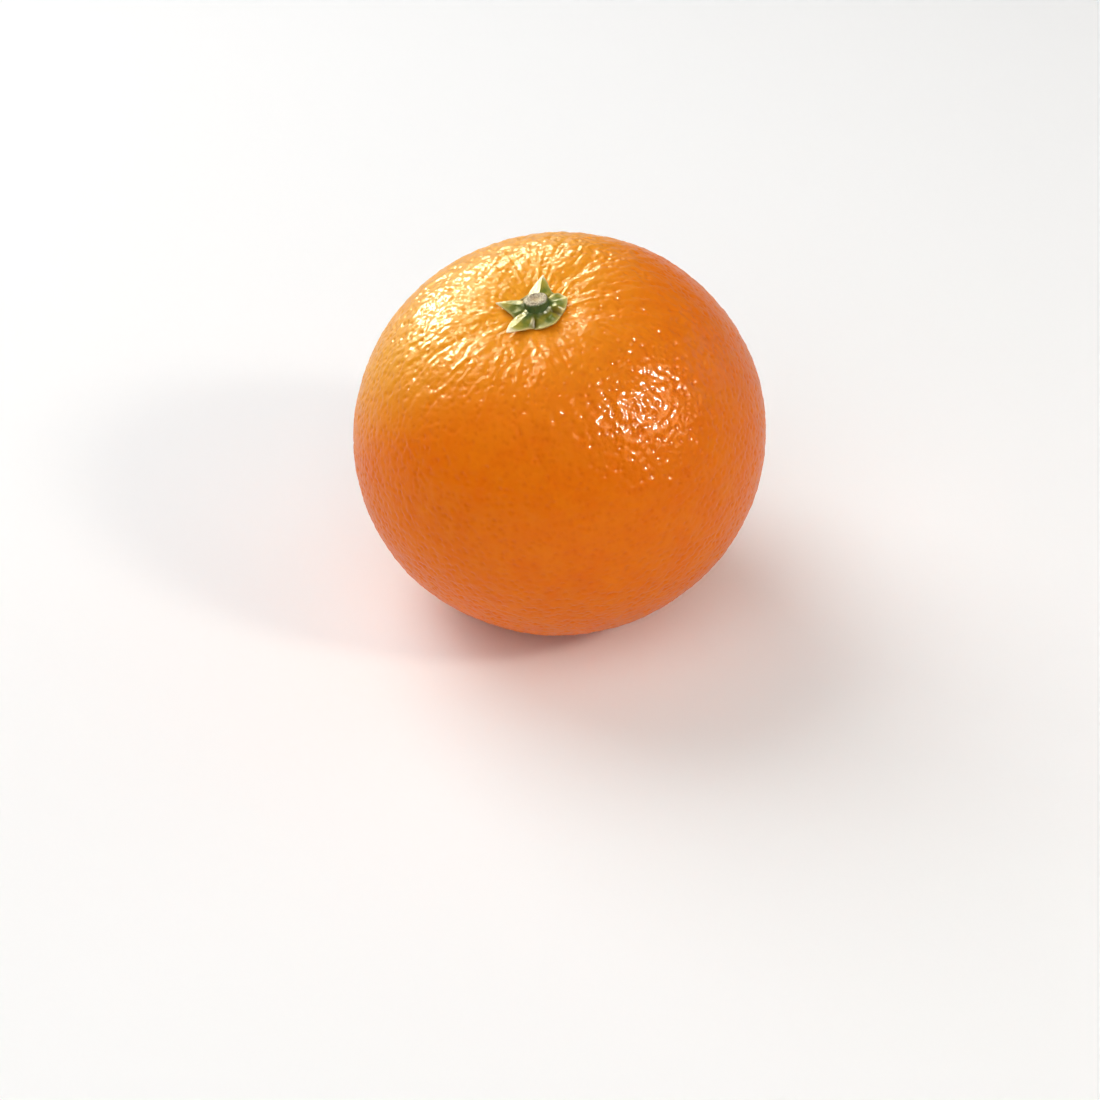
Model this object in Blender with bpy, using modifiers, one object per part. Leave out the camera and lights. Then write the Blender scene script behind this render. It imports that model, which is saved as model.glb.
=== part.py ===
"""An orange: one solid fruit with its leathery calyx and the cut stub of its stem.

Units are metres and +Z is up. The fruit is modelled upright, with its stem end on +Z, under an empty
that leans it to the side it rests on. World z = 0 is the table, which the small flat spot meets.
"""
import bpy
import math
from mathutils import Matrix, Vector

# ---- driving dimensions ----
EQUATOR_RADIUS = 0.0380          # half the width across the middle
POLE_RADIUS = 0.0361             # half the height from stem end to blossom end, before the hollows
WIDER_SIDE = (0.004, 2.66)       # the fruit is a little fuller on one side: share of the radius, bearing
OVAL = (0.005, 0.47)             # and a little oval across: share of the radius, bearing
STEM_HOLLOW_DEPTH = 0.0040       # the dimple that the calyx sits in
STEM_HOLLOW_WIDTH = 0.0095
SCAR_HOLLOW_DEPTH = 0.0006       # the shallow scar at the blossom end
SCAR_HOLLOW_WIDTH = 0.0035
FURROW_DEPTH = 0.00030           # creases that run out from the stem end
FURROW_START = 0.0050
FURROW_PEAK = 0.0130
FURROW_END = 0.0270
FURROW_WAVES = ((7, 0.6, 0.4), (12, 0.4, 2.1))     # creases round the fruit, share of depth, bearing

LEAN_TO = Vector((-0.125, -0.238, 0.963))   # where the stem end points when the fruit rests
FLAT_SPOT_DEPTH = 0.00095        # how far the peel is pressed in where it rests, a spot 17 mm across

SEAM = 0.0003                    # gap between pieces that touch
CALYX_INNER_RADIUS = 0.0024
CALYX_THICKNESS = 0.0014
CALYX_WAIST = 0.0042             # reach of the star between its lobes
CALYX_LOBES = ((81, 7.0), (167, 6.8), (229, 7.6), (300, 5.4), (15, 5.6))     # bearing in degrees, reach in mm
LOBE_HALF_WIDTH = math.radians(22)
STUB_RADIUS = 0.0021
STUB_HEIGHT = 0.0033

FRUIT_STEPS = 72
PROFILE_POINTS = 34
CALYX_STEPS = 60
CALYX_RINGS = 4
STUB_STEPS = 20
MM = 0.001


# ---- the peel's shape, as formulas that every piece shares ----
def equator(bearing):
    fuller, fuller_bearing = WIDER_SIDE
    oval, oval_bearing = OVAL
    swell = fuller * math.cos(bearing - fuller_bearing) + oval * math.cos(2 * (bearing - oval_bearing))
    return EQUATOR_RADIUS * (1 + swell)


def hollow(radius, depth, width):
    return depth * math.exp(-(radius / width) ** 2)


def smooth(low, high, value):
    share = min(max((value - low) / (high - low), 0.0), 1.0)
    return share * share * (3 - 2 * share)


def furrow(radius, bearing):
    """Depth of the creases, which start beside the calyx and fade out down the shoulder."""
    fade = smooth(FURROW_START, FURROW_PEAK, radius) * (1 - smooth(FURROW_PEAK, FURROW_END, radius))
    wave = sum(share * math.cos(count * bearing + turn) for count, share, turn in FURROW_WAVES)
    return FURROW_DEPTH * fade * (1 + wave)


def turned_profile(angle):
    """Radius and height of the round fruit at an angle down from the stem end."""
    radius = EQUATOR_RADIUS * math.sin(angle)
    height = POLE_RADIUS * math.cos(angle)
    if height > 0:
        return radius, height - hollow(radius, STEM_HOLLOW_DEPTH, STEM_HOLLOW_WIDTH)
    return radius, height + hollow(radius, SCAR_HOLLOW_DEPTH, SCAR_HOLLOW_WIDTH)


def shoulder_height(radius, bearing):
    """Height of the finished peel near the stem end."""
    cosine = math.sqrt(1 - (radius / equator(bearing)) ** 2)
    return (POLE_RADIUS * cosine - hollow(radius, STEM_HOLLOW_DEPTH, STEM_HOLLOW_WIDTH)
            - furrow(radius, bearing))


# ---- helpers ----
def collection(name):
    made = bpy.data.collections.new(name)
    bpy.context.scene.collection.children.link(made)
    return made


def material(name, colour, roughness, metallic=0.0):
    made = bpy.data.materials.new(name)
    made.use_nodes = True
    shader = made.node_tree.nodes["Principled BSDF"]
    shader.inputs["Base Color"].default_value = (*colour, 1.0)
    shader.inputs["Roughness"].default_value = roughness
    shader.inputs["Metallic"].default_value = metallic
    made.diffuse_color = (*colour, 1.0)
    return made


def add_object(name, mesh, finish, where, parent):
    made = bpy.data.objects.new(name, mesh)
    mesh.materials.clear()
    mesh.materials.append(finish)
    where.objects.link(made)
    made.parent = parent
    return made


def turned_mesh(name, profile, steps):
    """Turn a profile of (radius, height) points about Z with a Screw modifier, and keep the mesh."""
    line = bpy.data.meshes.new(name + "_profile")
    points = [(radius, 0.0, height) for radius, height in profile]
    line.from_pydata(points, [(i, i + 1) for i in range(len(points) - 1)], [])
    blank = bpy.data.objects.new(name + "_blank", line)
    bpy.context.scene.collection.objects.link(blank)
    screw = blank.modifiers.new("turn", "SCREW")
    screw.steps = steps
    screw.render_steps = steps
    screw.use_merge_vertices = True
    screw.merge_threshold = 0.00001
    bpy.context.view_layer.update()
    seen = blank.evaluated_get(bpy.context.evaluated_depsgraph_get())
    mesh = bpy.data.meshes.new_from_object(seen)
    bpy.data.objects.remove(blank)
    bpy.data.meshes.remove(line)
    mesh.name = name
    mesh.shade_smooth()
    return mesh


# ---- sub-parts ----
def make_fruit(where, parent, table):
    """The whole fruit as one solid: a turned body, then its fuller side, its oval and its creases."""
    angles = [math.pi * i / PROFILE_POINTS for i in range(PROFILE_POINTS + 1)]
    mesh = turned_mesh("fruit", [turned_profile(angle) for angle in angles], FRUIT_STEPS)
    for vertex in mesh.vertices:
        radius = math.hypot(vertex.co.x, vertex.co.y)
        bearing = math.atan2(vertex.co.y, vertex.co.x)
        stretch = equator(bearing) / EQUATOR_RADIUS
        vertex.co.x *= stretch
        vertex.co.y *= stretch
        if vertex.co.z > 0:
            vertex.co.z -= furrow(radius * stretch, bearing)
    peel = material("peel", (0.80, 0.235, 0.018), 0.42)
    fruit = add_object("fruit", mesh, peel, where, parent)
    spot = fruit.modifiers.new("flat_spot", "BOOLEAN")
    spot.operation = "DIFFERENCE"
    spot.object = table
    return fruit


def calyx_reach(bearing):
    """How far the star reaches from the stem's axis at a bearing."""
    reach = CALYX_WAIST
    for lobe_degrees, lobe_mm in CALYX_LOBES:
        off = math.remainder(bearing - math.radians(lobe_degrees), math.tau)
        bump = math.exp(-(off / LOBE_HALF_WIDTH) ** 2)
        reach = max(reach, CALYX_WAIST + (lobe_mm * MM - CALYX_WAIST) * bump)
    return reach


def make_calyx(where, parent):
    """The five-lobed star left from the flower, a thin shell that follows the hollow round the stub."""
    rings = [1 + i / CALYX_RINGS for i in range(CALYX_RINGS + 1)]
    mesh = turned_mesh("calyx", [(ring, 0.0) for ring in rings], CALYX_STEPS)
    for vertex in mesh.vertices:
        share = math.hypot(vertex.co.x, vertex.co.y) - 1
        bearing = math.atan2(vertex.co.y, vertex.co.x)
        radius = CALYX_INNER_RADIUS + share * (calyx_reach(bearing) - CALYX_INNER_RADIUS)
        height = shoulder_height(radius, bearing) + SEAM
        vertex.co = (radius * math.cos(bearing), radius * math.sin(bearing), height)
    calyx = add_object("calyx", mesh, material("calyx", (0.27, 0.19, 0.04), 0.6), where, parent)
    shell = calyx.modifiers.new("thickness", "SOLIDIFY")
    shell.thickness = CALYX_THICKNESS
    shell.offset = 1.0           # it grows up from the side that faces the peel
    return calyx


def make_stem_stub(where, parent):
    """The short woody stub of the stem, flared at its foot and a little hollow where it was cut."""
    foot = shoulder_height(0.0, 0.0) + SEAM
    rim_foot = shoulder_height(STUB_RADIUS, 0.0) + SEAM
    top = foot + STUB_HEIGHT
    profile = [
        (0.0, top - 0.30 * MM),
        (0.45 * STUB_RADIUS, top - 0.22 * MM),
        (0.78 * STUB_RADIUS, top),
        (0.92 * STUB_RADIUS, top - 0.12 * MM),
        (0.98 * STUB_RADIUS, top - 0.50 * MM),
        (0.93 * STUB_RADIUS, top - 0.50 * STUB_HEIGHT),
        (1.00 * STUB_RADIUS, rim_foot + 0.35 * MM),
        (1.00 * STUB_RADIUS, rim_foot),
        (0.0, foot),
    ]
    mesh = turned_mesh("stem_stub", profile, STUB_STEPS)
    return add_object("stem_stub", mesh, material("stem", (0.11, 0.12, 0.04), 0.7), where, parent)


def lean_matrix():
    return Vector((0, 0, 1)).rotation_difference(LEAN_TO.normalized()).to_matrix().to_4x4()


def resting_place(lean):
    """Where the fruit's centre goes: over the origin, with the flat spot on z = 0."""
    angles = [math.pi * i / PROFILE_POINTS for i in range(PROFILE_POINTS + 1)]
    bearings = [math.tau * i / FRUIT_STEPS for i in range(FRUIT_STEPS)]
    outline = []
    for angle in angles:
        radius, height = turned_profile(angle)
        for bearing in bearings:
            wide = radius * equator(bearing) / EQUATOR_RADIUS
            outline.append(lean @ Vector((wide * math.cos(bearing), wide * math.sin(bearing), height)))
    middle = [(min(p[i] for p in outline) + max(p[i] for p in outline)) / 2 for i in (0, 1)]
    lowest = min(p.z for p in outline)
    return Vector((-middle[0], -middle[1], -lowest - FLAT_SPOT_DEPTH))


def make_table_cutter(where):
    """A block with its top on z = 0, which takes the flat spot off the underside."""
    size = 0.04
    bpy.ops.mesh.primitive_cube_add(size=size, location=(0, 0, -size / 2))
    cutter = bpy.context.active_object
    cutter.name = "table_cutter"
    for other in list(cutter.users_collection):
        other.objects.unlink(cutter)
    where.objects.link(cutter)
    cutter.hide_render = True
    cutter.display_type = "WIRE"
    return cutter


def main():
    for old in list(bpy.data.objects):
        bpy.data.objects.remove(old)
    pieces = collection("orange")
    cutters = collection("cutters")
    lean = lean_matrix()
    resting = bpy.data.objects.new("resting_lean", None)
    resting.matrix_world = Matrix.Translation(resting_place(lean)) @ lean
    pieces.objects.link(resting)
    table = make_table_cutter(cutters)
    make_fruit(pieces, resting, table)
    make_calyx(pieces, resting)
    make_stem_stub(pieces, resting)


main()
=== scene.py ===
# %% [markdown]
# # An orange, made from formulas
#
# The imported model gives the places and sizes: a solid fruit, its calyx and the stub of its stem.
# The lesson makes the visible surface of each: peel with its oil glands, a leathery star, a cut twig.
# The fruit's own shape is repeated here as the same formulas, because a fine surface needs far more
# points than the solid has. Lengths are in metres, and names that end in MM are in millimetres.

# %% Load the frame
import math

import bmesh
import bpy
import numpy as np
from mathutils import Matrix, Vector, noise
from mathutils.kdtree import KDTree


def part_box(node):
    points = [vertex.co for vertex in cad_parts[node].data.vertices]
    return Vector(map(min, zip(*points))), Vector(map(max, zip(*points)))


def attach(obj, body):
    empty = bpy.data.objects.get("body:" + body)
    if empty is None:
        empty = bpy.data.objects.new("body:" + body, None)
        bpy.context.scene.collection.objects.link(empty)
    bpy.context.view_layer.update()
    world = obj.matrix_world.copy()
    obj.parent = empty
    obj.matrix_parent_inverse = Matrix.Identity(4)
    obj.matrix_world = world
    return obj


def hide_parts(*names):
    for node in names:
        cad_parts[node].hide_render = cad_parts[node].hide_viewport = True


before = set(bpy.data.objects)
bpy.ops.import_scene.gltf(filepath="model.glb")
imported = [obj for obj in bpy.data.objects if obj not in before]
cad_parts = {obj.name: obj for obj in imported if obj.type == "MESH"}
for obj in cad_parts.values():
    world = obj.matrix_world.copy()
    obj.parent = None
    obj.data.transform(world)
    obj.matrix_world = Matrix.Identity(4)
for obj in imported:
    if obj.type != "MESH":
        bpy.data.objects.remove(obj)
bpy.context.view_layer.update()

MM = 0.001
fruit_low, fruit_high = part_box("fruit")
stub_low, stub_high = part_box("stem_stub")

# %% [markdown]
# ## The round body
#
# An orange is nearly a ball that is a little flat from stem to blossom end, a little oval across and
# fuller on one side. A ball primitive could be scaled by hand, but a formula can be asked again for
# the calyx, which has to follow the same surface. Bearings are angles round the stem, in radians.

# %% Shape of the fruit
ROOM_FOR_PEBBLES = 0.998                    # the pebbles stand up from a ball that is a little smaller
EQUATOR_RADIUS = (fruit_high.x - fruit_low.x) / 2 * ROOM_FOR_PEBBLES
POLE_RADIUS = 0.0361
WIDER_SIDE = (0.004, 2.66)                  # share of the radius, bearing
OVAL = (0.005, 0.47)
STEM_HOLLOW = (0.0040, 0.0095)              # depth, width
SCAR_HOLLOW = (0.0006, 0.0035)
FLAT_SPOT_DEPTH = 0.00095


def equator(bearing):
    """Radius across the middle at a bearing, for one number or an array."""
    swell = WIDER_SIDE[0] * np.cos(bearing - WIDER_SIDE[1]) + OVAL[0] * np.cos(2 * (bearing - OVAL[1]))
    return EQUATOR_RADIUS * (1 + swell)


def hollow(radius, depth_and_width):
    """Depth of a round dent at a distance from its middle."""
    depth, width = depth_and_width
    return depth * np.exp(-(radius / width) ** 2)


def smooth(low, high, value):
    """0 below low, 1 above high, and an even slope between."""
    share = np.clip((value - low) / (high - low), 0, 1)
    return share * share * (3 - 2 * share)


print("equator radius in mm", round(EQUATOR_RADIUS / MM, 2))

# %% [markdown]
# Creases run out from the stem end, where the young fruit was gathered in round its stem. They are
# strongest on the shoulder and are gone before the middle. Two waves round the stem, of 7 and 12
# creases, don't line up with each other, so no two creases look the same.

# %% Creases and the shoulder
FURROW_DEPTH = 0.00030
FURROW_START, FURROW_PEAK, FURROW_END = 0.0050, 0.0130, 0.0270
FURROW_WAVES = ((7, 0.6, 0.4), (12, 0.4, 2.1))      # creases round the stem, share, turn


def furrow(radius, bearing):
    """Depth of the creases at a place on the shoulder."""
    fade = smooth(FURROW_START, FURROW_PEAK, radius) * (1 - smooth(FURROW_PEAK, FURROW_END, radius))
    wave = sum(share * np.cos(count * bearing + turn) for count, share, turn in FURROW_WAVES)
    return FURROW_DEPTH * fade * (1 + wave)


def shoulder_height(radius, bearing):
    """Height of the peel near the stem end, above the fruit's centre along its stem."""
    cosine = np.sqrt(1 - (radius / equator(bearing)) ** 2)
    return POLE_RADIUS * cosine - hollow(radius, STEM_HOLLOW) - furrow(radius, bearing)


print("the hollow's floor is", round(float(shoulder_height(0.0, 0.0)) / MM, 2), "mm from the centre")

# %% [markdown]
# ## How the fruit lies
#
# The fruit is worked out upright, with its stem along +Z, and then leaned to the side that it rests
# on. The frame's stem stub shows which way the stem points, so the lean comes from the frame and not
# from an angle that is typed again.

# %% Lean the fruit
stem_way = ((stub_low + stub_high) / 2 - (fruit_low + fruit_high) / 2).normalized()
lean = np.array(Vector((0, 0, 1)).rotation_difference(stem_way).to_matrix())


def fruit_surface(ways):
    """Points of the bare round fruit for unit vectors, before it is leaned."""
    bearing = np.arctan2(ways[:, 1], ways[:, 0])
    sine = np.hypot(ways[:, 0], ways[:, 1])
    radius = equator(bearing) * sine
    height = POLE_RADIUS * ways[:, 2]
    top = hollow(radius, STEM_HOLLOW) + furrow(radius, bearing)
    height = np.where(height > 0, height - top, height + hollow(radius, SCAR_HOLLOW))
    return np.column_stack((radius * np.cos(bearing), radius * np.sin(bearing), height))


print("the stem leans", round(math.degrees(math.acos(stem_way.z)), 1), "degrees from upright")

# %% [markdown]
# ## An even net of points
#
# A globe's net is crowded at its poles. A cube whose sides are cut into even squares and then blown
# up to a ball has squares of nearly one size everywhere, so every oil gland gets the same number of
# points. The tangent spreads the squares near a side's edges as evenly as those at its middle.

# %% Cut a cube and blow it up
SQUARES_PER_SIDE = 256
cube = bmesh.new()
bmesh.ops.create_cube(cube, size=2)
bmesh.ops.subdivide_edges(cube, edges=cube.edges, cuts=SQUARES_PER_SIDE - 1, use_grid_fill=True)
peel_mesh = bpy.data.meshes.new("peel")
cube.to_mesh(peel_mesh)
cube.free()
ways = np.empty(len(peel_mesh.vertices) * 3)
peel_mesh.vertices.foreach_get("co", ways)
ways = np.tan(ways.reshape(-1, 3) * (math.pi / 4))
ways /= np.linalg.norm(ways, axis=1)[:, None]
square_mm = math.pi / 2 * EQUATOR_RADIUS / SQUARES_PER_SIDE / MM
print(len(ways), "points, squares of", round(square_mm, 2), "mm")

# %% [markdown]
# ## Relief of the peel
#
# The outer layer of peel, the flavedo, is a thin skin stretched over round oil glands. Where a gland
# lies, the skin is drawn in to a small pit, and between the pits it stands up in soft pebbles. A bump
# map could fake them from one side, but the pits are real geometry here, because each one has to catch
# the light from every side and the outline has to show them.
#
# Glands sit about 1.25 mm apart and never in rows. Points could be thrown at
# random, but then they clump. A golden-angle spiral spreads them evenly over a ball, and a random
# nudge of a third of the spacing hides the spiral.

# %% Place the oil glands
GLAND_SPACING_MM = 1.25
GLAND_PIT_RADIUS_MM = 0.41
GLAND_PIT_DEPTH_MM = 0.19
GLAND_STRENGTHS = (0.45, 1.25)              # weakest and strongest gland, as shares of a full pit
PACKING = 0.87                              # area per point in an even net, as a share of its square
GOLDEN_ANGLE = math.pi * (3 - math.sqrt(5))
draw = np.random.default_rng(7)

ball_mm = (EQUATOR_RADIUS + POLE_RADIUS) / 2 / MM
gland_count = int(4 * math.pi * ball_mm ** 2 / (GLAND_SPACING_MM ** 2 * PACKING))
turn = np.arange(gland_count)
level = 1 - 2 * (turn + 0.5) / gland_count
ring = np.sqrt(1 - level ** 2)
spiral = turn * GOLDEN_ANGLE
glands = np.column_stack((ring * np.cos(spiral), ring * np.sin(spiral), level))
glands = glands * ball_mm + draw.normal(0, GLAND_SPACING_MM / 3.4, glands.shape)
gland_strength = draw.uniform(*GLAND_STRENGTHS, gland_count)
print(gland_count, "oil glands")

# %% [markdown]
# Every point of the peel looks for its nearest gland in a tree of glands, which is quick even for
# hundreds of thousands of points. A pit's section is a bell curve, because skin has no sharp edges.


# %% Depth of the pits at every point
def pits(points_mm):
    """Share of a full pit, 0 between glands to about 1.2 in the middle of a strong one."""
    tree = KDTree(len(glands))
    for index, gland in enumerate(glands.tolist()):
        tree.insert(gland, index)
    tree.balance()
    depth = np.zeros(len(points_mm))
    for index, point in enumerate(points_mm.tolist()):
        _, nearest, distance = tree.find(point)
        depth[index] = gland_strength[nearest] * math.exp(-(distance / GLAND_PIT_RADIUS_MM) ** 2)
    return depth


pit = pits(ways * ball_mm)
print("share of the peel inside a pit", round(float((pit > 0.4).mean()), 2))

# %% [markdown]
# Slower swellings lie under the pits. The whole fruit sways by a tenth of a millimetre or two, which
# breaks a lamp's reflection into patches, and pebbles 1 to 3 mm across break the patches into
# sparkles. Round the stem the skin was stretched as the fruit grew, so the pebbles there are long,
# narrow and point at the stem. Noise read from a cylinder round the stem gives that: the cylinder's
# girth sets how narrow they are, a slow step along it sets how long, and a second noise makes them
# wander, so that they don't look ruled.

# %% Swellings, pebbles and stretched pebbles
SWAY = ((17.0, 0.20), (7.5, 0.07))          # size in mm, height in mm
PEBBLES = ((3.1, 0.030), (1.6, 0.080), (0.95, 0.072))
STRETCH_LENGTH_MM = 3.2
STRETCH_WANDER = 0.55
# Girth of the cylinder, then where a band starts, is full, fades and is gone, in mm from the stem.
STRETCH_BANDS = ((9.5, 3.0, 6.0, 12.0, 18.0), (16.0, 9.0, 14.0, 22.0, 35.0))
STRETCH_HEIGHT_MM = 0.25
SWAY_NOISE, PEBBLE_NOISE, STRETCH_NOISE = 3, 40, 80   # parts of the noise that don't overlap
BEYOND_MM = 1e3                             # stands for "on the other half of the fruit"


def noise_field(points, shift):
    """Smooth noise from -1 to 1 at every point; the shift picks another part of the noise."""
    return np.array([noise.noise((x + shift, y - shift, z + shift)) for x, y, z in points.tolist()])


def waves(points_mm, layers, shift):
    """Noise layers of (size in mm, height in mm), added up."""
    return sum(height * noise_field(points_mm / size, shift + 10 * number)
               for number, (size, height) in enumerate(layers))


def stretched(radius_mm, bearing, shift):
    """Long pebbles that point at the stem: an inner band with few round it, an outer band with more."""
    total = np.zeros(len(radius_mm))
    for number, (girth, rise, full, fall, gone) in enumerate(STRETCH_BANDS):
        cylinder = np.column_stack((girth * np.cos(bearing), girth * np.sin(bearing),
                                    radius_mm / STRETCH_LENGTH_MM))
        wander = noise_field(cylinder * 0.7, shift + 20 * number + 7)[:, None]
        cylinder += STRETCH_WANDER * wander * np.array((1.0, -1.0, 0.6))
        fade = smooth(rise, full, radius_mm) * (1 - smooth(fall, gone, radius_mm))
        total += fade * noise_field(cylinder, shift + 20 * number)
    return STRETCH_HEIGHT_MM * total


body = fruit_surface(ways)
bearing = np.arctan2(body[:, 1], body[:, 0])
from_axis_mm = np.hypot(body[:, 0], body[:, 1]) / MM
from_stem_mm = np.where(ways[:, 2] > 0, from_axis_mm, BEYOND_MM)
relief_mm = waves(body / MM, SWAY, SWAY_NOISE) + waves(body / MM, PEBBLES, PEBBLE_NOISE)
near = from_stem_mm < STRETCH_BANDS[-1][-1]
relief_mm[near] += stretched(from_stem_mm[near], bearing[near], STRETCH_NOISE)
print("relief without pits, mm", np.round([relief_mm.min(), relief_mm.max()], 2))

# %% [markdown]
# The pits are shallower under the calyx and beside it, where the peel is drawn smooth. At the other
# end, a small raised ring is what the flower's style left behind.

# %% Add the pits and the blossom scar
PIT_FADE_MM = (3.5, 8.0)
PIT_SHARE_AT_STEM = 0.35
SCAR_RING_MM, SCAR_RING_WIDTH_MM, SCAR_RING_HEIGHT_MM = 1.3, 0.45, 0.22
pit *= PIT_SHARE_AT_STEM + (1 - PIT_SHARE_AT_STEM) * smooth(*PIT_FADE_MM, from_stem_mm)
relief_mm -= GLAND_PIT_DEPTH_MM * pit
from_scar_mm = np.where(ways[:, 2] < 0, from_axis_mm, BEYOND_MM)
scar_ring = np.exp(-((from_scar_mm - SCAR_RING_MM) / SCAR_RING_WIDTH_MM) ** 2)
relief_mm += SCAR_RING_HEIGHT_MM * scar_ring
outward = body / np.array([EQUATOR_RADIUS, EQUATOR_RADIUS, POLE_RADIUS]) ** 2
outward /= np.linalg.norm(outward, axis=1)[:, None]
skin = (body + outward * relief_mm[:, None] * MM) @ lean.T
print("deepest pit in mm", round(float(GLAND_PIT_DEPTH_MM * pit.max()), 3))

# %% [markdown]
# The fruit's weight presses a small flat spot into the peel. Points below the table could be cut off,
# but they are lifted onto it, and a soft bend just above the table keeps the spot's edge from looking
# sawn.

# %% Press the flat spot
BEND = 0.00025
bare = body @ lean.T
middle = (bare.min(axis=0) + bare.max(axis=0)) / 2
fruit_centre = Vector((-middle[0], -middle[1], -bare[:, 2].min() - FLAT_SPOT_DEPTH))
skin += np.array(fruit_centre)
skin[:, 2] = BEND * np.logaddexp(0, skin[:, 2] / BEND)
skin[:, 2] -= skin[:, 2].min()
peel_mesh.vertices.foreach_set("co", skin.ravel())
peel_mesh.update()
peel_mesh.shade_smooth()
print("centre of the fruit in mm", [round(c / MM, 2) for c in fruit_centre])


# %% [markdown]
# Each point also remembers what it is: how deep in a pit, how near the stem or the scar, and how
# squarely it faces the lamps on the upper left, where a yellow light is painted on. The finish reads
# these later, so that colour and shape agree.

# %% Make a piece and store what its points are
SHOULDER_MM = (5, 32)                       # the yellow shoulder fades between these, from the stem
SCAR_COLOUR_MM = 1.5
# Painted light: the side that faces the key lamps on the upper left is painted yellower, for their
# broad sheen.
LIT_SIDE_WAY = Vector((-0.55, 0.34, 0.74))      # the middle of the pale cheek, seen from the centre
LIT_SIDE_RAMP = (0.42, 0.92)                    # cosines where the cheek starts and where it is full


def store(mesh, name, values):
    """Give every point of a mesh a number under a name."""
    layer = mesh.attributes.new(name, "FLOAT", "POINT")
    layer.data.foreach_set("value", np.asarray(values, dtype=np.float32).ravel())


def add_piece(name, mesh, slot, *nodes):
    """Link a piece, let it ride on the fruit's one body and stand for its CAD nodes."""
    piece = bpy.data.objects.new(name, mesh)
    bpy.context.scene.collection.objects.link(piece)
    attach(piece, "root")
    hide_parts(*nodes)
    return piece


store(peel_mesh, "pit", pit)
store(peel_mesh, "near_stem", 1 - smooth(*SHOULDER_MM, from_stem_mm))
store(peel_mesh, "scar", np.exp(-(from_scar_mm / SCAR_COLOUR_MM) ** 2))
lit_side_way = np.array(LIT_SIDE_WAY.normalized())
# Painted light: how squarely each point faces the lamps on the upper left, for a painted yellow sheen.
store(peel_mesh, "painted_light_side", smooth(*LIT_SIDE_RAMP, ways @ lean.T @ lit_side_way))
peel = add_piece("peel", peel_mesh, "peel", "fruit")
print(peel.name, len(peel_mesh.polygons), "squares")


# %% [markdown]
# ## Colours and nodes
#
# Colours are picked as screen hex values, which are bent for the eye. A renderer counts light, so one
# function turns them straight. A second one adds a node with its settings and its links.

# %% Two helpers for materials
def linear(code):
    """Screen hex colour to the straight one that a shader takes."""
    channels = [int(code[i:i + 2], 16) / 255 for i in (1, 3, 5)]
    return (*[c / 12.92 if c <= 0.04045 else ((c + 0.055) / 1.055) ** 2.4 for c in channels], 1.0)


def add_node(tree, kind, settings=None, inputs=None):
    """Adds a node. An input that is given another node's output is linked, and any other is set."""
    made = tree.nodes.new(kind)
    for name, value in (settings or {}).items():
        setattr(made, name, value)
    for name, value in (inputs or {}).items():
        if isinstance(value, bpy.types.NodeSocket):
            tree.links.new(value, made.inputs[name])
        else:
            made.inputs[name].default_value = value
    return made


def new_material(name):
    """An empty material, and its tree and output."""
    made = bpy.data.materials.new(name)
    made.use_nodes = True
    made.node_tree.nodes.clear()
    return made, made.node_tree, made.node_tree.nodes.new("ShaderNodeOutputMaterial")


MIX_FACTOR, MIX_A, MIX_B, MIX_COLOUR_OUT = 0, 6, 7, 2     # a colour mix node's sockets, by number
print("mid orange, linear", [round(c, 3) for c in linear("#E0701A")[:3]])

# %% [markdown]
# ## Finish of the peel
#
# Citrus peel is a waxed cuticle over orange flavedo. The pigment sits in the skin, and light wanders
# most of a millimetre in it, which softens the pits. The skin is dull by itself, and the wax over it
# gives a clear, sharp gloss. One glossy layer would look like plastic, so the shader is a Principled
# one with a dull base, a little subsurface and a thin, smooth coat. The shoulder stayed yellower as the
# fruit ripened. The side that faces the lamps on the upper left is painted yellower as well, a painted
# light for their broad sheen, and the pits are painted a little darker and redder, partly the glands'
# own tint and partly painted shade in the hollows.

# %% Waxed citrus peel
peel_finish, tree, output = new_material("waxed citrus peel, grown")
where = add_node(tree, "ShaderNodeTexCoord").outputs["Object"]
pit_depth = add_node(tree, "ShaderNodeAttribute", {"attribute_name": "pit"}).outputs["Fac"]
stem_end = add_node(tree, "ShaderNodeAttribute", {"attribute_name": "near_stem"}).outputs["Fac"]
scar = add_node(tree, "ShaderNodeAttribute", {"attribute_name": "scar"}).outputs["Fac"]

# Ripening is uneven over patches about 20 mm wide, and finer over patches about 4 mm wide.
patches = add_node(tree, "ShaderNodeTexNoise", None,
                   {"Vector": where, "Scale": 1 / (20 * MM), "Detail": 2.0}).outputs["Fac"]
mottle = add_node(tree, "ShaderNodeTexNoise", None,
                  {"Vector": where, "Scale": 1 / (4 * MM), "Detail": 3.0}).outputs["Fac"]
ripe = add_node(tree, "ShaderNodeMix", {"data_type": "RGBA"},
                {MIX_FACTOR: patches, MIX_A: linear("#EA6E04"), MIX_B: linear("#E25E00")})
mottled = add_node(tree, "ShaderNodeMix", {"data_type": "RGBA"},
                   {MIX_FACTOR: mottle, MIX_A: ripe.outputs[MIX_COLOUR_OUT], MIX_B: linear("#EC7C08")})
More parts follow.
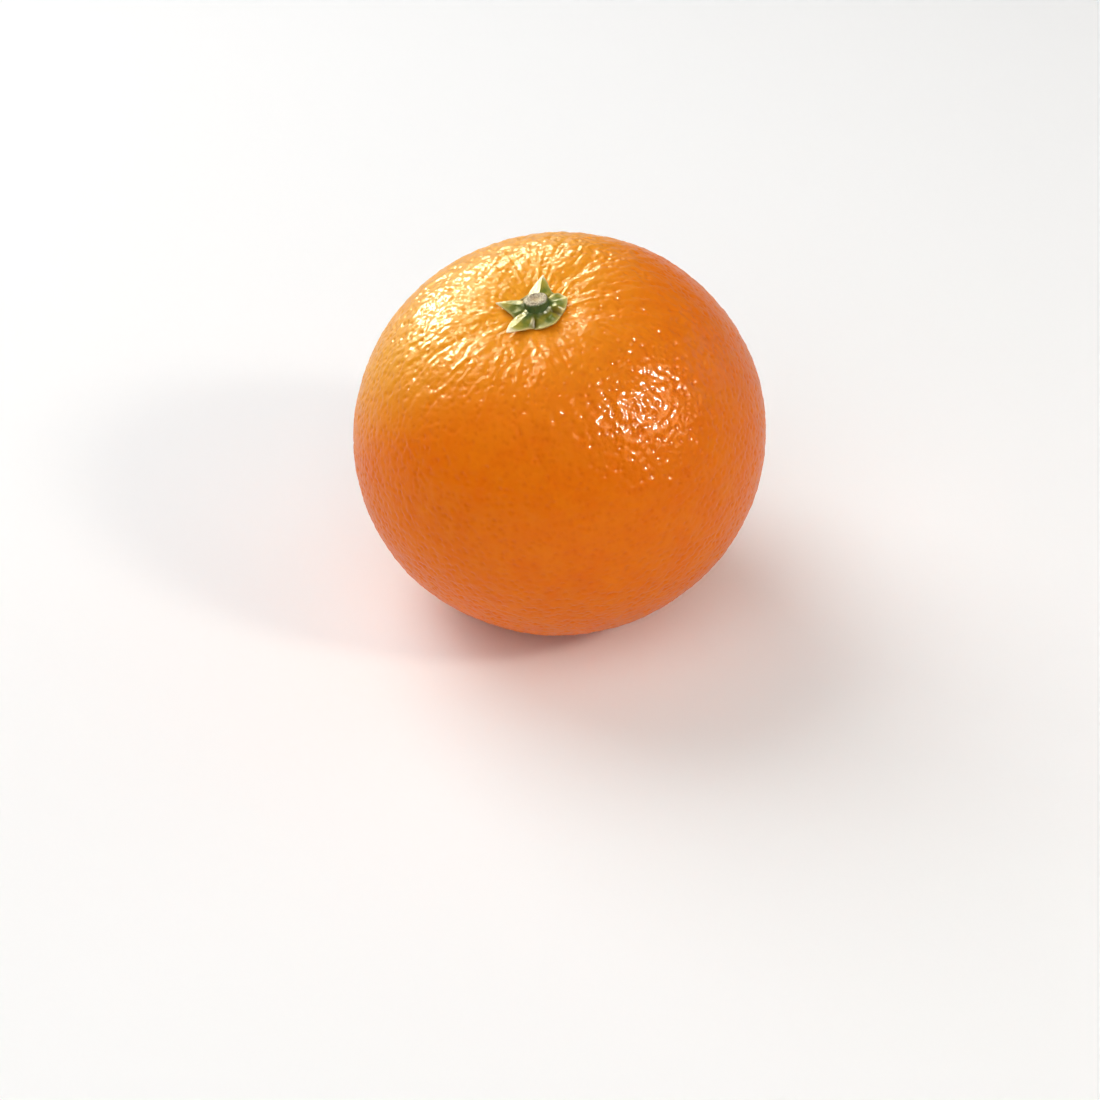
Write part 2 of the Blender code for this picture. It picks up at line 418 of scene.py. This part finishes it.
# Painted light: the side facing the lamps on the upper left is painted yellower, standing in for their
# sheen.
painted_light = add_node(tree, "ShaderNodeAttribute", {"attribute_name": "painted_light_side"}).outputs["Fac"]
painted_light_share = add_node(tree, "ShaderNodeMath", {"operation": "MULTIPLY"}, {0: painted_light, 1: 0.8})
light_painted = add_node(tree, "ShaderNodeMix", {"data_type": "RGBA"},
                   {MIX_FACTOR: painted_light_share.outputs[0], MIX_A: mottled.outputs[MIX_COLOUR_OUT],
                    MIX_B: linear("#F0AC2A")})
yellow_share = add_node(tree, "ShaderNodeMath", {"operation": "MULTIPLY"}, {0: stem_end, 1: 0.55})
shoulder = add_node(tree, "ShaderNodeMix", {"data_type": "RGBA"},
                    {MIX_FACTOR: yellow_share.outputs[0], MIX_A: light_painted.outputs[MIX_COLOUR_OUT],
                     MIX_B: linear("#EE9A22")})
# The pits are painted darker and redder: partly the glands' own tint, partly painted shade in the
# hollows.
pit_shade_share = add_node(tree, "ShaderNodeMath", {"operation": "MULTIPLY", "use_clamp": True},
                     {0: pit_depth, 1: 0.20})
glands_and_pit_shade = add_node(tree, "ShaderNodeMix", {"data_type": "RGBA"},
                       {MIX_FACTOR: pit_shade_share.outputs[0], MIX_A: shoulder.outputs[MIX_COLOUR_OUT],
                        MIX_B: linear("#CC4E02")})
scarred = add_node(tree, "ShaderNodeMix", {"data_type": "RGBA"},
                   {MIX_FACTOR: scar, MIX_A: glands_and_pit_shade.outputs[MIX_COLOUR_OUT],
                    MIX_B: linear("#8A6232")})
dull = add_node(tree, "ShaderNodeMapRange", None,
                {"Value": mottle, "To Min": 0.34, "To Max": 0.46})
# The cuticle has a grain of its own about 0.6 mm wide, too fine for the net of points.
grain = add_node(tree, "ShaderNodeTexNoise", None,
                 {"Vector": where, "Scale": 1 / (0.6 * MM), "Detail": 3.0}).outputs["Fac"]
bump = add_node(tree, "ShaderNodeBump", None,
                {"Height": grain, "Strength": 0.8, "Distance": 0.10 * MM})
# The eye gets a deep, even orange from the dull skin and small, sharp sparkles from the wax.
shader = add_node(tree, "ShaderNodeBsdfPrincipled", None, {
    "Base Color": scarred.outputs[MIX_COLOUR_OUT], "Roughness": dull.outputs["Result"],
    "IOR": 1.45, "Specular IOR Level": 0.1, "Specular Tint": linear("#FFB870"),
    "Normal": bump.outputs["Normal"],
    "Subsurface Weight": 0.1, "Subsurface Radius": (1.0, 0.35, 0.08), "Subsurface Scale": 0.7 * MM,
    "Coat Weight": 0.22, "Coat Roughness": 0.06, "Coat IOR": 1.45})
tree.links.new(shader.outputs["BSDF"], output.inputs["Surface"])
peel_mesh.materials.append(peel_finish)
print(peel_finish.name)

# %% [markdown]
# ## The calyx
#
# The calyx is what is left of the flower's five sepals: a leathery star that clasps the stem. Three
# of its points are long and sharp and two are blunt. It could be cut from a flat sheet, but the real
# one is thick at the stem and thin at its points. So it is built from rings of points round the stem:
# the first ring is at the collar, the next ones are wider until the rim, and more follow underneath.

# %% Outline of the star
SEPALS = (  # bearing in degrees, reach in mm, half width in degrees, sharpness, lift of the point in mm
    (81, 7.5, 42, 2.5, 0.60),
    (167, 7.5, 40, 2.8, 0.55),
    (229, 8.1, 36, 1.9, 0.95),
    (300, 5.3, 42, 0.8, 0.80),
    (15, 5.6, 44, 0.8, 0.70),
)
WAIST_MM = 4.3
STAR_STEPS = 360
STAR_RINGS = 44
STAR_UNDER_RINGS = 12
STUB_RADIUS_MM = 2.1
star_bearing = np.linspace(0, math.tau, STAR_STEPS, endpoint=False)


def off_bearing(bearing, degrees):
    """Angle from a bearing to another, between -180 and 180 degrees, in radians."""
    return (bearing - math.radians(degrees) + math.pi) % math.tau - math.pi


reach_mm = np.full(STAR_STEPS, WAIST_MM)
lift_mm = np.zeros(STAR_STEPS)
midrib = np.zeros(STAR_STEPS)
for degrees, reach, half_width, sharpness, lift in SEPALS:
    share = np.clip(1 - abs(off_bearing(star_bearing, degrees)) / math.radians(half_width), 0, 1)
    reach_mm = np.maximum(reach_mm, WAIST_MM + (reach - WAIST_MM) * share ** sharpness)
    lift_mm = np.maximum(lift_mm, lift * share)
    midrib = np.maximum(midrib, share)
reach_mm += 0.12 * noise_field(np.column_stack((3 * np.cos(star_bearing), 3 * np.sin(star_bearing),
                                                np.zeros(STAR_STEPS))), 5)
print("calyx reaches from", round(reach_mm.min(), 1), "to", round(reach_mm.max(), 1), "mm")

# %% [markdown]
# The top is highest at the collar. A midrib runs out along each sepal, a valley lies between two
# sepals, and a few warts sit near the collar where bracts fell off. The leaf has dried unevenly, so
# fine wrinkles lie over all of it and its rim has curled up a little from the peel.

# %% Shape the star
COLLAR_MM, BODY_MM, RIM_MM = 2.3, 1.45, 0.30          # thickness from the stem to the rim
VALLEY_MM, MIDRIB_MM, THINNEST_MM = 0.60, 0.35, 0.12
RIM_LIFT_MM, OVERLAP_MM = 0.2, 0.15
# Bearing in degrees, distance from the stem in mm, height in mm, width in mm.
WARTS = ((348, 3.6, 0.85, 0.95), (310, 3.9, 0.70, 0.8), (205, 3.5, 0.35, 0.8), (262, 2.9, 0.35, 0.8),
         (120, 3.2, 0.25, 0.7), (285, 3.3, 0.30, 0.6), (40, 3.9, 0.40, 0.9))
over = np.linspace(0, 1, STAR_RINGS)[:, None]
inner_mm = STUB_RADIUS_MM - OVERLAP_MM
out_mm = inner_mm + over * (reach_mm - inner_mm)
leaf_mm = RIM_MM + (BODY_MM - RIM_MM) * (1 - over ** 2.2)
thick = leaf_mm + (COLLAR_MM - BODY_MM) * np.exp(-(over / 0.22) ** 2)
valley = (1 - smooth(0.0, 0.45, midrib)) * smooth(0.15, 0.5, over)
ridge = midrib ** 3 * (1 - over) * smooth(0.1, 0.4, over)
thick = thick - VALLEY_MM * valley + MIDRIB_MM * ridge
star_x, star_y = out_mm * np.cos(star_bearing), out_mm * np.sin(star_bearing)
for degrees, radius, height, width in WARTS:
    angle = math.radians(degrees)
    apart = np.hypot(star_x - radius * math.cos(angle), star_y - radius * math.sin(angle))
    thick = thick + height * np.exp(-(apart / width) ** 2)
flat = np.column_stack((star_x.ravel(), star_y.ravel(), np.zeros(star_x.size)))
wrinkles = 0.10 * noise_field(flat / 1.1, 9) + 0.05 * noise_field(flat / 0.45, 31)
thick = np.maximum(thick + wrinkles.reshape(thick.shape) * (1 - 0.6 * over), THINNEST_MM)
floor_mm = shoulder_height(out_mm * MM, np.broadcast_to(star_bearing, out_mm.shape)) / MM
lifted = (RIM_LIFT_MM + lift_mm) * over ** 3
top_mm = floor_mm + lifted + thick
print("thickest place in mm", round(float(thick.max()), 2))

# %% [markdown]
# The underside follows the peel. It is sunk into the peel a little near the stem and rises with the
# dried points, which stand up to a millimetre off the peel. Top and underside share one net of rings,
# so the star is one closed skin with no loose edge.

# %% Close the star with its underside
UNDER_INSET, UNDER_SINK_MM = 0.985, 0.05
under = np.linspace(1, 0, STAR_UNDER_RINGS)[:, None]
under_out = inner_mm + under * (reach_mm - inner_mm) * UNDER_INSET
under_floor = shoulder_height(under_out * MM, np.broadcast_to(star_bearing, under_out.shape)) / MM
under_top = under_floor + (RIM_LIFT_MM + lift_mm) * under ** 3 - UNDER_SINK_MM


def ring_points(bearing, radius_mm, height_mm):
    """Points of rings round the stem, placed in the leaned fruit."""
    x = radius_mm * np.cos(bearing)
    y = radius_mm * np.sin(bearing)
    return np.stack((x, y, height_mm), axis=-1).reshape(-1, 3) * MM @ lean.T + np.array(fruit_centre)


def skin_rings(name, points, steps):
    """A closed mesh from rings of points that follow each other, the last joined to the first."""
    ring = np.arange(len(points)).reshape(-1, steps)
    after = np.roll(ring, -1, axis=0)
    squares = np.stack((ring, np.roll(ring, -1, axis=1), np.roll(after, -1, axis=1), after), axis=-1)
    mesh = bpy.data.meshes.new(name)
    mesh.from_pydata(points.tolist(), [], squares[:, :, ::-1].reshape(-1, 4).tolist())
    mesh.shade_smooth()
    return mesh


star_points = np.vstack((ring_points(star_bearing, out_mm, top_mm),
                         ring_points(star_bearing, under_out, under_top)))
calyx_mesh = skin_rings("calyx_star", star_points, STAR_STEPS)
TIP_MM = (6.0, 7.8)                         # the dried points start and are full here, from the stem
all_round = np.ones(STAR_STEPS)
no_underside = np.zeros_like(under_out)
store(calyx_mesh, "rim", np.vstack((over ** 11 * all_round, under ** 4 * all_round)))
store(calyx_mesh, "tip", np.vstack((smooth(*TIP_MM, out_mm), smooth(*TIP_MM, under_out))))
# The valley value is read by the finish for painted shade in the valleys.
store(calyx_mesh, "valley", np.vstack((valley, no_underside)))
store(calyx_mesh, "collar", np.vstack((np.exp(-(over / 0.25) ** 2) * all_round, no_underside)))
calyx = add_piece("calyx_star", calyx_mesh, "calyx", "calyx")
print(calyx.name, len(calyx_mesh.polygons), "faces")

# %% [markdown]
# ## Finish of the calyx
#
# Sepals are leaf tissue that has dried on the fruit. The green has turned olive and yellow, and the
# thin rim and points have dried out to cream. Blotches about 2 mm wide could be painted by hand, but
# noise places them on any shape. Leaf wax leaves a weak gloss.

# %% Dried sepal
sepal_finish, tree, output = new_material("dried sepal, leathery leaf")
where = add_node(tree, "ShaderNodeTexCoord").outputs["Object"]
rim = add_node(tree, "ShaderNodeAttribute", {"attribute_name": "rim"}).outputs["Fac"]
tip = add_node(tree, "ShaderNodeAttribute", {"attribute_name": "tip"}).outputs["Fac"]
collar = add_node(tree, "ShaderNodeAttribute", {"attribute_name": "collar"}).outputs["Fac"]
valley_shade = add_node(tree, "ShaderNodeAttribute", {"attribute_name": "valley"}).outputs["Fac"]
blotch = add_node(tree, "ShaderNodeTexNoise", None,
                  {"Vector": where, "Scale": 1 / (2.2 * MM), "Detail": 3.0}).outputs["Fac"]
blotch_share = add_node(tree, "ShaderNodeMapRange", None,
                        {"Value": blotch, "From Min": 0.38, "From Max": 0.62})
leaf = add_node(tree, "ShaderNodeMix", {"data_type": "RGBA"},
                {MIX_FACTOR: blotch_share.outputs["Result"], MIX_A: linear("#62701A"),
                 MIX_B: linear("#A2942C")})
# Painted shade: the valleys between the sepals are painted dark brown where shade gathers.
valley_shaded = add_node(tree, "ShaderNodeMix", {"data_type": "RGBA"},
                   {MIX_FACTOR: valley_shade, MIX_A: leaf.outputs[MIX_COLOUR_OUT], MIX_B: linear("#4E3A14")})
# The collar is darker green: partly its own deeper green, partly painted shade at the foot of the stem.
green = add_node(tree, "ShaderNodeMix", {"data_type": "RGBA"},
                 {MIX_FACTOR: collar, MIX_A: valley_shaded.outputs[MIX_COLOUR_OUT], MIX_B: linear("#2E4A18")})
rimmed = add_node(tree, "ShaderNodeMix", {"data_type": "RGBA"},
                  {MIX_FACTOR: rim, MIX_A: green.outputs[MIX_COLOUR_OUT], MIX_B: linear("#C9BE76")})
pointed = add_node(tree, "ShaderNodeMix", {"data_type": "RGBA"},
                   {MIX_FACTOR: tip, MIX_A: rimmed.outputs[MIX_COLOUR_OUT], MIX_B: linear("#F0E6C8")})
fine = add_node(tree, "ShaderNodeTexNoise", None,
                {"Vector": where, "Scale": 1 / (0.35 * MM), "Detail": 4.0}).outputs["Fac"]
bump = add_node(tree, "ShaderNodeBump", None, {"Height": fine, "Strength": 0.6, "Distance": 0.08 * MM})
# The eye gets a leathery leaf: soft and dull on the faces, with a weak shine where one turns away.
shader = add_node(tree, "ShaderNodeBsdfPrincipled", None, {
    "Base Color": pointed.outputs[MIX_COLOUR_OUT], "Roughness": 0.36,
    "IOR": 1.45, "Specular IOR Level": 0.28,
    "Normal": bump.outputs["Normal"],
    "Subsurface Weight": 0.06, "Subsurface Radius": (0.6, 0.8, 0.2), "Subsurface Scale": 0.5 * MM})
tree.links.new(shader.outputs["BSDF"], output.inputs["Surface"])
calyx_mesh.materials.append(sepal_finish)
print(sepal_finish.name)

# %% [markdown]
# ## The stem stub
#
# The picker clipped the stem about 4 mm above the floor of the hollow. Its bark is dark green and
# ridged along the stem. The cut has dried: the wood ring stands up a little, the pith has sunk, and
# the plane of the cut leans, because clippers are rarely held square. A plain cylinder would look like
# a peg, so it is built from rings like the calyx: up the side, round the cut's rim and in to the pith.

# %% Shape the stub
STUB_STEPS = 144
STUB_HEIGHT_MM = 3.9
CUT_SLOPE = (0.06, -0.24)
FOOT_FLARE, HEAD_FLARE, RIM_BEVEL = 0.16, 0.03, 0.10  # shares of the radius
WOOD_RING_MM, PITH_SINK_MM = 0.16, 0.42
SIDE_RINGS, CUT_RINGS = 30, 26
side = np.linspace(0, 1, SIDE_RINGS)[:, None]
inward = np.linspace(1, 0.02, CUT_RINGS)[1:, None]
stub_bearing = np.linspace(0, math.tau, STUB_STEPS, endpoint=False)
round_stub = np.column_stack((np.cos(stub_bearing), np.sin(stub_bearing), np.zeros(STUB_STEPS)))
bark = 0.10 * noise_field(round_stub * 1.6, 2) + 0.045 * noise_field(round_stub * 6.0, 14)
stub_foot_mm = float(shoulder_height(0.0, 0.0)) / MM
flare = FOOT_FLARE * np.exp(-(side / 0.30) ** 2) + HEAD_FLARE * side ** 4
side_radius = STUB_RADIUS_MM * (1 + flare + bark) * (1 - RIM_BEVEL * smooth(0.93, 1.0, side))
cut_radius = inward * side_radius[-1]


def cut_plane(radius_mm):
    """Height of the sloping cut above the hollow's floor."""
    x, y = radius_mm * np.cos(stub_bearing), radius_mm * np.sin(stub_bearing)
    return STUB_HEIGHT_MM + CUT_SLOPE[0] * x + CUT_SLOPE[1] * y


side_height = side * cut_plane(side_radius)
wood_ring = WOOD_RING_MM * np.exp(-((inward - 0.72) / 0.16) ** 2)
sunk_pith = PITH_SINK_MM * np.exp(-(inward / 0.42) ** 2)
cut_height = cut_plane(cut_radius) + 0.04 + wood_ring - sunk_pith
cut_flat = np.column_stack(((cut_radius * np.cos(stub_bearing)).ravel(),
                            (cut_radius * np.sin(stub_bearing)).ravel(), np.zeros(cut_radius.size)))
torn = 0.16 * noise_field(cut_flat / 0.55, 6) + 0.09 * noise_field(cut_flat / 0.25, 17)
cut_height = cut_height + torn.reshape(cut_height.shape) * smooth(0, 0.15, 1 - inward)
stub_points = np.vstack((ring_points(stub_bearing, side_radius, side_height + stub_foot_mm),
                         ring_points(stub_bearing, cut_radius, cut_height + stub_foot_mm)))
stub_mesh = skin_rings("cut_stem", stub_points, STUB_STEPS)
print("stub radius in mm", round(float(side_radius.min()), 2), "to", round(float(side_radius.max()), 2))

# %% [markdown]
# Bark, end grain and pith have their own colours, so each point stores how much of the cut and of the
# pith it is. The change from bark to wood is sharp, as a blade leaves it.

# %% Store the cut and add the stub
on_cut = np.vstack((smooth(0.95, 1.0, side) * np.ones(STUB_STEPS), np.ones(cut_radius.shape)))
in_pith = np.exp(-(inward / 0.4) ** 2) * np.ones(STUB_STEPS)
store(stub_mesh, "cut", on_cut)
store(stub_mesh, "pith", np.vstack((np.zeros(side_height.shape), in_pith)))
stub = add_piece("cut_stem", stub_mesh, "stem", "stem_stub")
print(stub.name, len(stub_mesh.polygons), "faces")

# %% [markdown]
# ## Finish of the stub
#
# Two surfaces meet here: green bark with a little wax, and dry end grain, grey-brown with pale
# fibres and dark pores. Two materials would need the faces sorted, so one holds both, and the stored
# "cut" value picks between them. Real fibres are finer than a tenth of a millimetre. They are drawn
# 0.4 mm wide here, or they wouldn't show.

# %% Green bark and dry end grain
stem_finish, tree, output = new_material("citrus twig, clipped and dried")
where = add_node(tree, "ShaderNodeTexCoord").outputs["Object"]
cut = add_node(tree, "ShaderNodeAttribute", {"attribute_name": "cut"}).outputs["Fac"]
pith = add_node(tree, "ShaderNodeAttribute", {"attribute_name": "pith"}).outputs["Fac"]
bark_tone = add_node(tree, "ShaderNodeTexNoise", None,
                     {"Vector": where, "Scale": 1 / (1.2 * MM), "Detail": 3.0}).outputs["Fac"]
fibre = add_node(tree, "ShaderNodeTexNoise", None,
                 {"Vector": where, "Scale": 1 / (0.4 * MM), "Detail": 3.0}).outputs["Fac"]
fibre_share = add_node(tree, "ShaderNodeMapRange", None,
                       {"Value": fibre, "From Min": 0.35, "From Max": 0.65})
bark_colour = add_node(tree, "ShaderNodeMix", {"data_type": "RGBA"},
                       {MIX_FACTOR: bark_tone, MIX_A: linear("#2E4A24"), MIX_B: linear("#5A7440")})
grain_colour = add_node(tree, "ShaderNodeMix", {"data_type": "RGBA"},
                        {MIX_FACTOR: fibre_share.outputs["Result"], MIX_A: linear("#6E5C48"),
                         MIX_B: linear("#C4B79C")})
pith_colour = add_node(tree, "ShaderNodeMix", {"data_type": "RGBA"},
                       {MIX_FACTOR: pith, MIX_A: grain_colour.outputs[MIX_COLOUR_OUT],
                        MIX_B: linear("#A8906A")})
both = add_node(tree, "ShaderNodeMix", {"data_type": "RGBA"},
                {MIX_FACTOR: cut, MIX_A: bark_colour.outputs[MIX_COLOUR_OUT],
                 MIX_B: pith_colour.outputs[MIX_COLOUR_OUT]})
rough = add_node(tree, "ShaderNodeMapRange", None, {"Value": cut, "To Min": 0.38, "To Max": 0.75})
bump = add_node(tree, "ShaderNodeBump", None, {"Height": fibre, "Strength": 0.6, "Distance": 0.1 * MM})
# The eye gets a smooth, slightly waxy bark and a dry, chalky cut.
shader = add_node(tree, "ShaderNodeBsdfPrincipled", None, {
    "Base Color": both.outputs[MIX_COLOUR_OUT], "Roughness": rough.outputs["Result"], "IOR": 1.45,
    "Normal": bump.outputs["Normal"]})
tree.links.new(shader.outputs["BSDF"], output.inputs["Surface"])
stub_mesh.materials.append(stem_finish)
print(stem_finish.name)

# %% [markdown]
# ## The studio
#
# A plain white board fills the view, as on a product photographer's table. It is painted matt and has
# no gloss at all, so it shows no lamps and takes only a soft shadow and a little orange light.

# %% Table
TABLE_SIZE = 8.0
bpy.ops.mesh.primitive_plane_add(size=TABLE_SIZE, location=(0, 0, 0))
table = bpy.context.active_object
table.name = "table"
table_finish, tree, output = new_material("white studio board, matt painted")
# The eye gets a clean ground that is nearly as bright as paper.
shader = add_node(tree, "ShaderNodeBsdfPrincipled", None,
                  {"Base Color": linear("#FCFCFC"), "Roughness": 0.8, "Specular IOR Level": 0.0})
tree.links.new(shader.outputs["BSDF"], output.inputs["Surface"])
table.data.materials.append(table_finish)
print(table.name)

# %% [markdown]
# A waxed fruit shows two things at once: the colour that light gives its skin, and small mirror images
# of the lamps in its wax. A lamp that is strong enough for sparkles would burn the colour out, so
# photographers screen the two from each other. Here each soft box says whether it lights the skin,
# shows in the gloss, or both. A window and three smaller boxes behind the fruit make the sparkles on
# the shoulder and in the hollow. A lamp on the right makes the second patch, and a wide, dim box round
# it makes the faint sparkles at the patch's edge. Two large boxes light the skin, one on the left and
# one in front, and two weak ones keep the right side from going flat. A dim white room fills the
# shadows.

# %% Soft boxes and room light
# Name, azimuth and elevation in degrees, distance and size in m, watts, colour, lights the skin,
# shows in the gloss.
SOFT_BOXES = (
    ("window_glint", -135, 27, 0.80, 0.28, 26.0, "#FFF4C8", False, True),
    ("overhead_glint", -97, 60, 0.80, 0.17, 3.2, "#FFF4C8", False, True),
    ("skylight_glint", -134, 57, 0.80, 0.17, 4.8, "#FFF4C8", False, True),
    ("back_glint", -168, 27, 0.80, 0.21, 6.5, "#FFF4C8", False, True),
    ("lamp_glint", 60, 38, 0.80, 0.15, 18.0, "#FFFCF4", False, True),
    ("lamp_halo", 62, 36, 0.80, 0.46, 6.5, "#FFE0A4", False, True),
    ("lamp_right", 60, 38, 0.80, 0.12, 1.5, "#FFF8EC", True, False),
    ("window_left", -132, 48, 0.80, 0.60, 4.1, "#FFFFFF", True, False),
    ("fill_front", -15, 50, 0.90, 0.80, 3.2, "#FFFFFF", True, False),
    ("rim_right", 115, 14, 0.80, 0.35, 0.6, "#FFFFFF", True, True),
)
ROOM_STRENGTH = 0.20


def way(azimuth, elevation):
    """Unit vector towards a place; azimuth 0 is in front of the fruit and 90 is on its right."""
    a, e = math.radians(azimuth), math.radians(elevation)
    return Vector((math.sin(a) * math.cos(e), -math.cos(a) * math.cos(e), math.sin(e)))


for name, azimuth, elevation, distance, size, watts, colour, on_skin, in_gloss in SOFT_BOXES:
    light = bpy.data.lights.new(name, "AREA")
    light.shape = "SQUARE"
    light.size = size
    light.energy = watts
    light.color = linear(colour)[:3]
    lamp = bpy.data.objects.new(name, light)
    bpy.context.scene.collection.objects.link(lamp)
    lamp.visible_diffuse = on_skin
    lamp.visible_glossy = in_gloss
    lamp.location = fruit_centre + way(azimuth, elevation) * distance
    lamp.rotation_euler = (-way(azimuth, elevation)).to_track_quat("-Z", "Y").to_euler()
room = bpy.data.worlds.new("room")
room.use_nodes = True
room.node_tree.nodes["Background"].inputs["Color"].default_value = (1.0, 1.0, 1.0, 1.0)
room.node_tree.nodes["Background"].inputs["Strength"].default_value = ROOM_STRENGTH
bpy.context.scene.world = room
bpy.context.scene.view_settings.view_transform = "Standard"
print(len(SOFT_BOXES), "soft boxes")

# %% [markdown]
# ## The camera
#
# A short telephoto looks down at 35 degrees, which shows the stem end and much of the peel, and keeps
# the fruit's round outline true. It aims below the fruit and a little to its left, so the fruit sits
# high in the picture.

# %% Camera
VIEW_ELEVATION = 35
VIEW_DISTANCE = 0.481
LENS_MM, SENSOR_MM = 85, 36
FRUIT_RIGHT, FRUIT_UP = 0.0087, 0.1058      # where the fruit's centre sits, as shares of the width
camera_data = bpy.data.cameras.new("camera")
camera_data.lens, camera_data.sensor_width = LENS_MM, SENSOR_MM
camera_data.clip_start = 0.01
camera = bpy.data.objects.new("camera", camera_data)
bpy.context.scene.collection.objects.link(camera)
back = way(0, VIEW_ELEVATION)
up = Vector((0, math.sin(math.radians(VIEW_ELEVATION)), math.cos(math.radians(VIEW_ELEVATION))))
width_seen = VIEW_DISTANCE * SENSOR_MM / LENS_MM
aim = fruit_centre - (Vector((1, 0, 0)) * FRUIT_RIGHT + up * FRUIT_UP) * width_seen
camera.location = fruit_centre + back * VIEW_DISTANCE
camera.rotation_euler = (aim - camera.location).to_track_quat("-Z", "Y").to_euler()
bpy.context.scene.camera = camera
print("the picture is", round(width_seen, 3), "m wide at the fruit")
